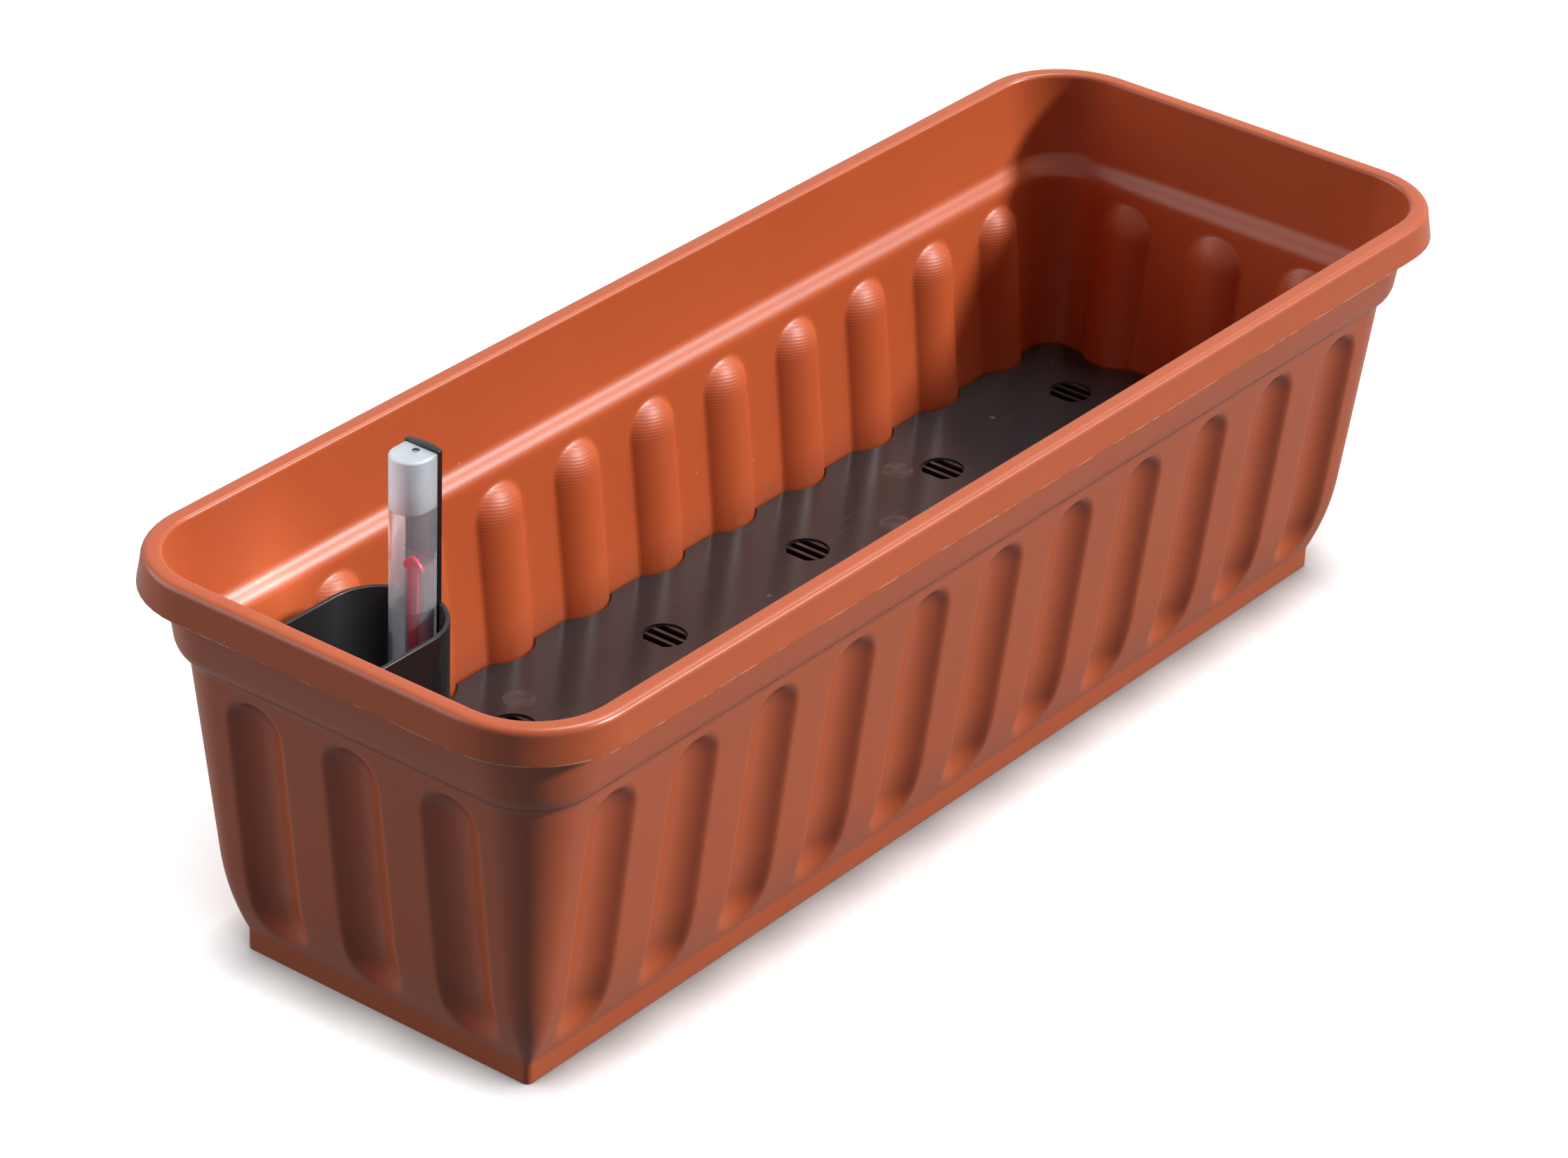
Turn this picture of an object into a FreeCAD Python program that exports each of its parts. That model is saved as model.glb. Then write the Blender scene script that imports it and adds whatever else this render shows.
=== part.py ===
import FreeCAD, Part
import math
import os

# Self watering balcony planter: a fluted trough, a false floor with soil cups, a filler shaft
# and a float gauge. Millimetres, +Z up, +X along the trough, origin on the ground under its
# centre. The filler shaft and the gauge stand at the -X end, on the +Y side.

V = FreeCAD.Vector
UP = V(0, 0, 1)

# ---- trough: every level section is one rectangle grown outwards by a radius that varies with height
LENGTH = 600.0              # over the lip
WIDTH = 220.5               # over the lip
HEIGHT = 176.0              # ground to rim
LIP_R = 42.5                # corner radius of the lip's lower edge
CORE_X = LENGTH / 2 - LIP_R     # half length of the rectangle that is grown
CORE_Y = WIDTH / 2 - LIP_R      # half width of that rectangle
WALL = 2.2                  # wall of the trough

LIP_BOTTOM = 162.0          # lower edge of the down-turned lip
LIP_TOP_R = 40.8            # corner radius of the lip just under its rounded top edge
LIP_WALL = 2.1
RIM_ROUND = 3.6             # rounding of the rim's outer edge
RIM_INNER_ROUND = 2.2
RIM_INNER_R = 32.3          # corner radius of the mouth
RIM_FLANGE = 2.4            # thickness of the flat rim

NECK_BOTTOM = 140.5         # the neck's wall starts to turn in here
NECK_R = 29.3
NECK_TOP_R = 34.0
NECK_ROUND = 0.8            # how far the neck's lower edge bulges past its chord
GROOVE = 131.0              # crease between neck and body
GROOVE_ROUND = 1.5          # reach of the soft rounding in the crease
BODY_TOP_R = 23.4

BELLY_TOP = 45.7            # the wall curves in below here
BELLY_TOP_R = 13.5
FOOT_HEIGHT = 9.1           # vertical plinth band
FOOT_R = 2.8
FOOT_EDGE = 0.6             # rounding of the plinth's lower edge
FOOT_WALL = 2.2
FLOOR_UNDER = 6.0
FLOOR_TOP = 8.4
LEDGE_RISE = 7.5            # the inner ledge lies this much above the outer crease

FLUTE_RADIUS = 17.0         # round cutter of the flutes
FLUTE_DEPTH = 6.0
FLUTE_TOP = 113.5           # height of the cutter's upper end centre, on the wall
FLUTE_FOOT = 26.0           # height of its lower end centre
SIDE_PITCH = 47.5
SIDE_FLUTES = 11
END_PITCH = 47.5
END_FLUTES = 3

# ---- false floor
PLATE_TOP = 55.0
PLATE = 2.0
PLATE_GAP = 0.9             # around its scalloped edge
GRATE_R = 9.4
GRATE_SINK = 0.8            # depth of the round dish that holds the slots
GRATE_SLOT = 3.4
GRATE_BAR = 1.7
GRATE_ROW_Y = 41.5
GRATE_FIRST_X = -138.4
GRATE_PITCH = 93.3
GRATES_PER_ROW = 5
LEG_TOP_R = 8.5
LEG_FOOT_R = 7.0
LEG_HOLLOW_R = 5.2          # each leg is a tube, closed by the plate and open below
LEG_PLACES = [(x, side * GRATE_ROW_Y) for x in (-91.8, 1.5, 94.8, 188.1) for side in (-1, 1)]
LEG_PLACES += [(-234.0, -42.0), (-234.0, 5.0)]

# ---- soil cups, which hang in the false floor
CUP_PLACES = (-91.8, 48.2, 188.1)
CUP_HOLE_R = 21.8
CUP_RIM_R = 24.0
CUP_RIM = 1.5
CUP_TOP_R = 21.4
CUP_FOOT_R = 14.0
CUP_BOTTOM = 11.0
CUP_WALL = 1.5
CUP_SLOTS = 8
CUP_SLOT = (3.0, 24.0)      # width and height of a side slot
CUP_SLOT_Z = 18.0

# ---- filler shaft: a U in plan, round towards +X, flat at the end wall
SHAFT_X = -208.0            # centre of the round end
SHAFT_Y = 47.6
SHAFT_R = 25.4
SHAFT_WALL = 1.9
SHAFT_END = -262.0
SHAFT_TOP = 132.0
SHAFT_BOTTOM = 51.0
SHAFT_FIT = 0.3             # in the plate's opening
LUG = (9.0, 1.4, 1.6)       # length, reach and height of the lugs that hook the shaft under the plate
LUG_PLACES = (-246.0, -216.0)

# ---- gauge: a D-shaped clear tube on a black rail, with a float and a red pointer inside
GAUGE_TOP = 196.0
GAUGE_BACK = -186.3         # plane between tube and rail
TUBE_R = 8.2                # round front, and half the width
TUBE_FLAT = 6.25            # straight part of the sides
TUBE_WALL = 1.2
TUBE_BOTTOM = 12.0
RAIL_FIT = 0.3              # between the rail's edges and the slot
RAIL_HALF = 8.4
RAIL_TOP = GAUGE_TOP + 0.9
RAIL_BOTTOM = 92.0          # the rail stands on the lower end of a slot in the shaft's round wall
VENT_R = 1.4
GAUGE_FOOT_BOTTOM = 9.0
FOOT_FLANGE = 3.0
SPIGOT = 3.0
FLOAT_FIT = 0.6
FLOAT_BOTTOM = 16.0
FLOAT_HEIGHT = 30.0
POINTER_X = -190.7          # middle of the pointer's thickness
POINTER_THICK = 1.6
STEM_HALF = 2.4
ARROW_HALF = 4.6
ARROW_HEIGHT = 6.0
ARROW_TIP = 3.8             # height of the pointed part
POINTER_TOP = 151.2
STEM_SOCKET = 12.0          # length of stem inside the float

# ---- drain plugs in the trough's floor
DRAIN_PLACES = (-216.0, 232.0)
DRAIN_Y = -20.0
DRAIN_R = 6.0
PLUG_FIT = 0.05
PLUG_HEAD_R = 8.6
PLUG_HEAD = 2.0
PLUG_TOP = 10.0
PLUG_BORE_R = 3.6

CLEAR = 5.0                 # cutters stand this far past what they cut
SLOPE = math.atan2(BODY_TOP_R - BELLY_TOP_R, GROOVE - BELLY_TOP)


def at(rho, z):
    """A profile point: rho outwards from the grown rectangle, z up."""
    return V(rho, 0, z)


def line(a, b):
    return Part.LineSegment(a, b).toShape()


def arc(a, mid, b):
    return Part.Arc(a, mid, b).toShape()


def face(edges):
    return Part.Face(Part.Wire(edges))


def polyline(points):
    return [line(a, b) for a, b in zip(points, points[1:])]


def belly():
    """Centre, radius and end angles of the outer belly arc, tangent to the straight wall."""
    start = at(BELLY_TOP_R, BELLY_TOP)
    chord = at(FOOT_R, FOOT_HEIGHT) - start
    lean = math.atan2(-chord.x, -chord.z)
    radius = chord.Length / (2 * math.sin(lean - SLOPE))
    centre = start - on_circle(radius, SLOPE)
    return centre, radius, SLOPE, 2 * lean - SLOPE


def on_circle(radius, angle):
    """Radius vector of the belly arc at an angle below the horizontal."""
    return at(radius * math.cos(angle), -radius * math.sin(angle))


def belly_arc(grow):
    """The belly's arc, moved out by grow, from its top to its foot."""
    centre, radius, top, foot = belly()
    angles = (top, (top + foot) / 2, foot)
    return [centre + on_circle(radius + grow, angle) for angle in angles]


def rounded(a, corner, b):
    """A rounding between a and b, whose tangents meet at the corner."""
    mid = (a + b) * 0.5
    return arc(a, mid + (corner - mid) * 0.586, b)


def outer_face():
    """Half section of the solid trough, with the space behind the lip cut out."""
    flange = HEIGHT - RIM_FLANGE
    top, middle, foot = belly_arc(0)
    neck = at(NECK_R, NECK_BOTTOM)
    crease = at(BODY_TOP_R + 1.0, GROOVE + GROOVE_ROUND)
    under = at(BODY_TOP_R - GROOVE_ROUND * math.tan(SLOPE), GROOVE - GROOVE_ROUND)
    bulge = (neck + crease) * 0.5 + at(NECK_ROUND, -NECK_ROUND * 0.5)
    edges = polyline([at(0, HEIGHT), at(LIP_TOP_R - RIM_ROUND, HEIGHT)])
    edges.append(rounded(at(LIP_TOP_R - RIM_ROUND, HEIGHT), at(LIP_TOP_R, HEIGHT),
                         at(LIP_TOP_R, HEIGHT - RIM_ROUND)))
    edges += polyline([at(LIP_TOP_R, HEIGHT - RIM_ROUND), at(LIP_R, LIP_BOTTOM),
                       at(LIP_R - LIP_WALL, LIP_BOTTOM), at(LIP_TOP_R - LIP_WALL, flange),
                       at(NECK_TOP_R, flange), neck])
    edges.append(arc(neck, bulge, crease))
    edges.append(rounded(crease, at(BODY_TOP_R, GROOVE), under))
    edges.append(line(under, top))
    edges.append(arc(top, middle, foot))
    edges.append(line(foot, at(FOOT_R, FOOT_EDGE)))
    edges.append(rounded(at(FOOT_R, FOOT_EDGE), at(FOOT_R, 0), at(FOOT_R - FOOT_EDGE, 0)))
    edges += polyline([at(FOOT_R - FOOT_EDGE, 0), at(0, 0), at(0, HEIGHT)])
    return face(edges)


def inner_face():
    """Half section of the trough's hollow, from above the rim down to the floor."""
    over = HEIGHT + CLEAR
    top, middle, foot = belly_arc(-WALL)
    ledge = GROOVE + LEDGE_RISE
    shelf = at(NECK_R - WALL, ledge + 3.2)
    knee = at(NECK_R - WALL - 0.3, ledge)
    middle_ledge = at(NECK_R - WALL - 2.7, ledge - 1.5)
    step = at(BODY_TOP_R - WALL + 0.3, ledge - 3.4)
    body_top = at(wall_rho(ledge - 6.6) - WALL, ledge - 6.6)
    edges = polyline([at(0, over), at(RIM_INNER_R + RIM_INNER_ROUND, over),
                      at(RIM_INNER_R + RIM_INNER_ROUND, HEIGHT)])
    edges.append(rounded(at(RIM_INNER_R + RIM_INNER_ROUND, HEIGHT), at(RIM_INNER_R, HEIGHT),
                         at(RIM_INNER_R, HEIGHT - RIM_INNER_ROUND)))
    edges.append(line(at(RIM_INNER_R, HEIGHT - RIM_INNER_ROUND), shelf))
    edges.append(rounded(shelf, knee, middle_ledge))
    edges.append(rounded(middle_ledge, step, body_top))
    edges.append(line(body_top, top))
    edges.append(arc(top, middle, foot))
    edges += polyline([foot, at(foot.x - 0.4, FLOOR_TOP), at(0, FLOOR_TOP), at(0, over)])
    return face(edges)


def around(half_section):
    """Carries a half section round the grown rectangle: four sides, four corners and the core."""
    box = half_section.BoundBox
    core = Part.makeBox(2 * CORE_X, 2 * CORE_Y, box.ZLength, V(-CORE_X, -CORE_Y, box.ZMin))
    end = half_section.copy()
    end.translate(V(CORE_X, -CORE_Y, 0))
    side = half_section.copy()
    side.rotate(V(), UP, 90)
    side.translate(V(CORE_X, CORE_Y, 0))
    corner = half_section.copy()
    corner.translate(V(CORE_X, CORE_Y, 0))
    corner = corner.revolve(V(CORE_X, CORE_Y, 0), UP, 90)
    pieces = [end.extrude(V(0, 2 * CORE_Y, 0)), side.extrude(V(-2 * CORE_X, 0, 0)), corner]
    pieces.append(corner.mirror(V(), V(1, 0, 0)))
    pieces += [piece.rotated(V(), UP, 180) for piece in pieces]
    return core.multiFuse(pieces).removeSplitter()


def flute(radius):
    """Round-ended cutter that follows the wall from flute top to belly, rho 0 at x 0."""
    centre, arc_radius, start, _ = belly()
    offset = FLUTE_RADIUS - FLUTE_DEPTH
    stop = math.asin((centre.z - FLUTE_FOOT) / arc_radius)
    bend = [centre + on_circle(arc_radius + offset, angle)
            for angle in (start, (start + stop) / 2, stop)]
    along = V(math.sin(SLOPE), 0, math.cos(SLOPE))
    head = bend[0] + along * ((FLUTE_TOP - BELLY_TOP) / math.cos(SLOPE))
    down = V(-math.sin(stop), 0, -math.cos(stop))
    straight = Part.makeCylinder(radius, (head - bend[0]).Length, bend[0], along)
    ring = Part.Wire(Part.makeCircle(radius, bend[0], along))
    curved = Part.Wire(arc(*bend)).makePipeShell([ring], True, True)
    caps = [Part.makeSphere(radius, head), Part.makeSphere(radius, bend[2], down)]
    return straight.multiFuse([curved] + caps)


def flutes(radius):
    """All the cutters, placed along both sides and both ends."""
    tool = flute(radius)
    placed = []
    for index in range(SIDE_FLUTES):
        shift = (index - (SIDE_FLUTES - 1) / 2) * SIDE_PITCH
        for turn in (90, -90):
            copy = tool.translated(V(CORE_Y, 0, 0)).rotated(V(), UP, turn)
            placed.append(copy.translated(V(shift, 0, 0)))
    for index in range(END_FLUTES):
        shift = (index - (END_FLUTES - 1) / 2) * END_PITCH
        for turn in (0, 180):
            copy = tool.translated(V(CORE_X, 0, 0)).rotated(V(), UP, turn)
            placed.append(copy.translated(V(0, shift, 0)))
    return placed


def grown(rho, low, high):
    """Rounded block: the core rectangle grown by rho."""
    outline = Part.makeBox(2 * (CORE_X + rho), 2 * (CORE_Y + rho), high - low,
                           V(-CORE_X - rho, -CORE_Y - rho, low))
    upright = [edge for edge in outline.Edges if abs(edge.tangentAt(edge.FirstParameter).z) > 0.9]
    return outline.makeFillet(rho, upright)


def planter_box():
    shell = around(outer_face()).cut(flutes(FLUTE_RADIUS))
    hollow = around(inner_face()).cut(flutes(FLUTE_RADIUS + WALL))
    trough = shell.cut(hollow)
    trough = trough.cut(grown(FOOT_R - FOOT_WALL, -CLEAR, FLOOR_UNDER))
    for x in DRAIN_PLACES:
        trough = trough.cut(Part.makeCylinder(DRAIN_R, HEIGHT / 4, V(x, DRAIN_Y, -CLEAR)))
    return trough


def wall_rho(z):
    """Outer wall radius on the straight part of the body."""
    return BELLY_TOP_R + (z - BELLY_TOP) * math.tan(SLOPE)


def shaft_block(shrink, low, high):
    """Solid of the filler shaft's outline, shrunk all round."""
    radius = SHAFT_R - shrink
    end = SHAFT_END + shrink
    a = V(end, SHAFT_Y - radius, low)
    b = V(SHAFT_X, SHAFT_Y - radius, low)
    c = V(SHAFT_X, SHAFT_Y + radius, low)
    d = V(end, SHAFT_Y + radius, low)
    edges = [line(a, b), arc(b, V(SHAFT_X + radius, SHAFT_Y, low), c), line(c, d), line(d, a)]
    return face(edges).extrude(V(0, 0, high - low))


def grate_tools(x, y):
    """Dish and three slots across it, with crescents of plate left at both ends."""
    dish = Part.makeCylinder(GRATE_R, GRATE_SINK, V(x, y, PLATE_TOP - GRATE_SINK))
    tools = [dish]
    step = GRATE_SLOT + GRATE_BAR
    for index in (-1, 0, 1):
        slot = Part.makeBox(GRATE_SLOT, 2 * GRATE_R, 2 * PLATE,
                            V(x + index * step - GRATE_SLOT / 2, y - GRATE_R, PLATE_TOP - 1.5 * PLATE))
        tools.append(slot.common(Part.makeCylinder(GRATE_R - 0.6, 4 * PLATE, V(x, y, PLATE_TOP - 2 * PLATE))))
    return tools


def plate_leg(x, y):
    height = PLATE_TOP - PLATE / 2 - FLOOR_TOP
    outside = Part.makeCone(LEG_FOOT_R, LEG_TOP_R, height, V(x, y, FLOOR_TOP))
    hollow = Part.makeCylinder(LEG_HOLLOW_R, PLATE_TOP - PLATE - FLOOR_TOP, V(x, y, FLOOR_TOP))
    return outside, hollow


def reservoir_plate():
    low = PLATE_TOP - PLATE
    rho = wall_rho(low) - WALL / math.cos(SLOPE) - PLATE_GAP
    plate = grown(rho, low, PLATE_TOP)
    reach = wall_rho(low) + (FLUTE_RADIUS - FLUTE_DEPTH) / math.cos(SLOPE)
    rib = Part.makeCylinder(FLUTE_RADIUS + WALL + PLATE_GAP, 3 * PLATE, V(0, 0, low - PLATE))
    for index in range(SIDE_FLUTES):
        shift = (index - (SIDE_FLUTES - 1) / 2) * SIDE_PITCH
        for side in (-1, 1):
            plate = plate.cut(rib.translated(V(shift, side * (CORE_Y + reach), 0)))
    for index in range(END_FLUTES):
        shift = (index - (END_FLUTES - 1) / 2) * END_PITCH
        for side in (-1, 1):
            plate = plate.cut(rib.translated(V(side * (CORE_X + reach), shift, 0)))
    legs = [plate_leg(x, y) for x, y in LEG_PLACES]
    plate = plate.multiFuse([outside for outside, _ in legs])
    tools = [hollow for _, hollow in legs]
    tools.append(shaft_block(-SHAFT_FIT, low - CLEAR, PLATE_TOP + CLEAR))
    tools.append(Part.makeBox(LENGTH / 2 + SHAFT_X, WIDTH / 2, 2 * CLEAR, V(-LENGTH / 2, SHAFT_Y, low - CLEAR)))
    tools += [Part.makeCylinder(CUP_HOLE_R, 2 * CLEAR, V(x, 0, low - CLEAR)) for x in CUP_PLACES]
    for index in range(GRATES_PER_ROW):
        for side in (-1, 1):
            tools += grate_tools(GRATE_FIRST_X + index * GRATE_PITCH, side * GRATE_ROW_Y)
    return plate.cut(tools)


def soil_cup(x):
    height = PLATE_TOP - CUP_BOTTOM
    outside = Part.makeCone(CUP_FOOT_R, CUP_TOP_R, height, V(x, 0, CUP_BOTTOM))
    rim = Part.makeCylinder(CUP_RIM_R, CUP_RIM, V(x, 0, PLATE_TOP))
    cup = outside.fuse(rim)
    inside = Part.makeCone(CUP_FOOT_R - CUP_WALL, CUP_TOP_R - CUP_WALL, height + CUP_RIM,
                           V(x, 0, CUP_BOTTOM + CUP_WALL))
    tools = [inside]
    width, tall = CUP_SLOT
    for index in range(CUP_SLOTS):
        slot = Part.makeBox(2 * CUP_TOP_R, width, tall, V(x, -width / 2, CUP_SLOT_Z))
        tools.append(slot.rotated(V(x, 0, 0), UP, index * 360.0 / CUP_SLOTS))
    for index in range(4):
        hole = Part.makeCylinder(2.0, 2 * CLEAR, V(x + 6.5, 0, CUP_BOTTOM - CLEAR))
        tools.append(hole.rotated(V(x, 0, 0), UP, index * 90))
    return cup.cut(tools)


def filler_shaft():
    shaft = shaft_block(0, SHAFT_BOTTOM, SHAFT_TOP)
    shaft = shaft.cut(shaft_block(SHAFT_WALL, SHAFT_BOTTOM - CLEAR, SHAFT_TOP + CLEAR))
    half = RAIL_HALF + RAIL_FIT
    slot = Part.makeBox(SHAFT_R, 2 * half, SHAFT_TOP + CLEAR - RAIL_BOTTOM,
                        V(SHAFT_X + SHAFT_R / 2, SHAFT_Y - half, RAIL_BOTTOM))
    length, reach, height = LUG
    under = PLATE_TOP - PLATE - height
    lugs = [Part.makeBox(length, reach + SHAFT_WALL / 2, height, V(x - length / 2, SHAFT_Y - SHAFT_R - reach, under))
            for x in LUG_PLACES]
    return shaft.fuse(lugs).cut(slot)


def d_block(shrink, low, high):
    """D in plan: flat at the rail, round towards -X."""
    radius = TUBE_R - shrink
    back = GAUGE_BACK - shrink
    middle = GAUGE_BACK - TUBE_FLAT
    a = V(back, SHAFT_Y - radius, low)
    b = V(middle, SHAFT_Y - radius, low)
    c = V(middle, SHAFT_Y + radius, low)
    d = V(back, SHAFT_Y + radius, low)
    edges = [line(a, b), arc(b, V(middle - radius, SHAFT_Y, low), c), line(c, d), line(d, a)]
    return face(edges).extrude(V(0, 0, high - low))


def gauge_tube():
    tube = d_block(0, TUBE_BOTTOM, GAUGE_TOP)
    top = [edge for edge in tube.Edges if edge.BoundBox.ZMin > GAUGE_TOP - 0.01]
    tube = tube.makeFillet(1.0, top[:3])
    tube = tube.cut(d_block(TUBE_WALL, TUBE_BOTTOM - CLEAR, GAUGE_TOP - TUBE_WALL))
    vent = V(GAUGE_BACK - TUBE_WALL - VENT_R - 0.3, SHAFT_Y + 0.3, GAUGE_TOP - CLEAR)
    return tube.cut(Part.makeCylinder(VENT_R, 2 * CLEAR, vent))


def gauge_rail():
    """Flat bar behind the tube, whose back continues the shaft's round wall."""
    round_bar = Part.makeCylinder(SHAFT_R, RAIL_TOP - RAIL_BOTTOM, V(SHAFT_X, SHAFT_Y, RAIL_BOTTOM))
    block = Part.makeBox(2 * TUBE_R, 2 * RAIL_HALF, RAIL_TOP - RAIL_BOTTOM,
                         V(GAUGE_BACK, SHAFT_Y - RAIL_HALF, RAIL_BOTTOM))
    return round_bar.common(block)


def gauge_foot():
    flange = d_block(0, GAUGE_FOOT_BOTTOM, GAUGE_FOOT_BOTTOM + FOOT_FLANGE)
    spigot = d_block(TUBE_WALL, GAUGE_FOOT_BOTTOM + FOOT_FLANGE, GAUGE_FOOT_BOTTOM + FOOT_FLANGE + SPIGOT)
    foot = flange.fuse(spigot)
    height = 2 * CLEAR + FOOT_FLANGE + SPIGOT
    for shift in (-4.6, 0, 4.6):
        foot = foot.cut(Part.makeCylinder(1.4, height, V(POINTER_X, SHAFT_Y + shift, GAUGE_FOOT_BOTTOM - CLEAR)))
    return foot


def pointer_outline(top, stem_half, bottom):
    """Arrow in the plane of the pointer, as a flat face at its -X side."""
    x = POINTER_X - POINTER_THICK / 2
    shoulder = top - ARROW_HEIGHT
    half = [(stem_half, bottom), (stem_half, shoulder), (ARROW_HALF, shoulder), (ARROW_HALF, top - ARROW_TIP)]
    points = [V(x, SHAFT_Y + y, z) for y, z in half]
    points.append(V(x, SHAFT_Y, top))
    points += [V(x, SHAFT_Y - y, z) for y, z in reversed(half)]
    points.append(points[0])
    return face(polyline(points))


def float_pointer():
    bottom = FLOAT_BOTTOM + FLOAT_HEIGHT - STEM_SOCKET
    return pointer_outline(POINTER_TOP, STEM_HALF, bottom).extrude(V(POINTER_THICK, 0, 0))


def float_body():
    body = d_block(TUBE_WALL + FLOAT_FIT, FLOAT_BOTTOM, FLOAT_BOTTOM + FLOAT_HEIGHT)
    socket = Part.makeBox(POINTER_THICK, 2 * STEM_HALF, STEM_SOCKET + CLEAR,
                          V(POINTER_X - POINTER_THICK / 2, SHAFT_Y - STEM_HALF,
                            FLOAT_BOTTOM + FLOAT_HEIGHT - STEM_SOCKET))
    return body.cut(socket)


def drain_plug(x):
    shank = Part.makeCylinder(DRAIN_R - PLUG_FIT, PLUG_TOP - FLOOR_UNDER, V(x, DRAIN_Y, FLOOR_UNDER))
    head = Part.makeCylinder(PLUG_HEAD_R, PLUG_HEAD, V(x, DRAIN_Y, FLOOR_UNDER - PLUG_HEAD))
    bore = Part.makeCylinder(PLUG_BORE_R, PLUG_TOP, V(x, DRAIN_Y, FLOOR_UNDER - PLUG_HEAD / 2))
    grip = Part.makeBox(2 * PLUG_HEAD_R - 5, 1.6, 2.2,
                        V(x - PLUG_HEAD_R + 2.5, DRAIN_Y - 0.8, FLOOR_UNDER - PLUG_HEAD - 2.2))
    return shank.fuse([head, grip]).cut(bore)


def write(node, shape):
    solids = shape.Solids
    if len(solids) != 1 or not shape.isValid():
        raise RuntimeError("%s: %d solids, valid %s" % (node, len(solids), shape.isValid()))
    solids[0].exportStep("parts/%s.step" % node)
    box = shape.BoundBox
    print("%-16s x %7.1f %7.1f  y %7.1f %7.1f  z %6.1f %6.1f  volume %.0f mm3"
          % (node, box.XMin, box.XMax, box.YMin, box.YMax, box.ZMin, box.ZMax, shape.Volume))


os.makedirs("parts", exist_ok=True)
write("planter_box", planter_box())
write("reservoir_plate", reservoir_plate())
for number, place in enumerate(CUP_PLACES, 1):
    write("soil_cup_%d" % number, soil_cup(place))
write("filler_shaft", filler_shaft())
write("gauge_rail", gauge_rail())
write("gauge_tube", gauge_tube())
write("gauge_foot", gauge_foot())
write("float_pointer", float_pointer())
write("float_body", float_body())
for number, place in enumerate(DRAIN_PLACES, 1):
    write("drain_plug_%d" % number, drain_plug(place))
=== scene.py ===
"""Looks of a self watering balcony planter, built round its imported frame.

Lengths in the classes are millimetres, as in the part's own sizes, and every mesh is written in metres.
"""
import logging
import math
from dataclasses import dataclass, field
from enum import Enum, IntEnum
from typing import Callable, Optional, Sequence

import bpy
import numpy as np
from mathutils import Matrix, Vector


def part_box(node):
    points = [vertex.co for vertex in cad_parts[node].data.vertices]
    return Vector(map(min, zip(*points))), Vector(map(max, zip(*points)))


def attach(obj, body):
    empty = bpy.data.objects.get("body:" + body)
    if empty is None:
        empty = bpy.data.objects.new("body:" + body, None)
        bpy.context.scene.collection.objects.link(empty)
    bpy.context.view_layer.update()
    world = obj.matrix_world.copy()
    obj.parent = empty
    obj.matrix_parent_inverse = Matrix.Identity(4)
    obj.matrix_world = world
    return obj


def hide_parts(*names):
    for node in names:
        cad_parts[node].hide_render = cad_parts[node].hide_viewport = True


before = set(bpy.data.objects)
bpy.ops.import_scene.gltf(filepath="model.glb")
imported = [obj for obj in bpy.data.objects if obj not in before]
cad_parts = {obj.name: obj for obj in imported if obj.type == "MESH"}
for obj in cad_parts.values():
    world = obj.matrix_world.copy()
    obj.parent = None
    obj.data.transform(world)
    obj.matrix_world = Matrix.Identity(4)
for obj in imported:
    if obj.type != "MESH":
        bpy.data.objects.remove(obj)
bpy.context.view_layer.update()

MM = 0.001
MERGE = 0.000002
SEAM_MERGE = 0.000005
LEVEL_REACH = 0.00001
HOLE_REACH = 0.00008
FLAT_DEGREES = 1.0
SMOOTH_DEGREES = 40.0
log = logging.getLogger("planter")

Point = tuple[float, float]
Triple = tuple[float, float, float]
Profile = list[Point]
Feeds = tuple[object, object, object]


class Body(Enum):
    """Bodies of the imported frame."""

    TROUGH = "trough"
    INSERT = "insert"
    GAUGE = "gauge"
    FLOAT = "float"


class Slot(Enum):
    """Material slots of the record."""

    TERRACOTTA = "terracotta_plastic"
    PLATE = "black_plastic"
    SHAFT = "shaft_plastic"
    CLEAR = "clear_plastic"
    RED = "red_plastic"
    FOAM = "float_foam"
    RUBBER = "plug_rubber"


class Wall(Enum):
    """Which side of the trough's wall a row of the section lies on."""

    OUTSIDE = 1
    INSIDE = 2
    PLAIN = 3


class TubeFace(IntEnum):
    """Place of each finish in the tube's list of materials."""

    CLEAR = 0
    FROSTED = 1
    # Hazy pale faces that paint the glow of light inside the tube on its far side and a highlight along its
    # back edge.
    PAINTED_GLOW = 2
    # Painted shade: the vent hole's wall takes the shaft's black so the hole looks dark.
    BLACK = 3
    MISTED = 4


# ---------------------------------------------------------------- node groups


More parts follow.
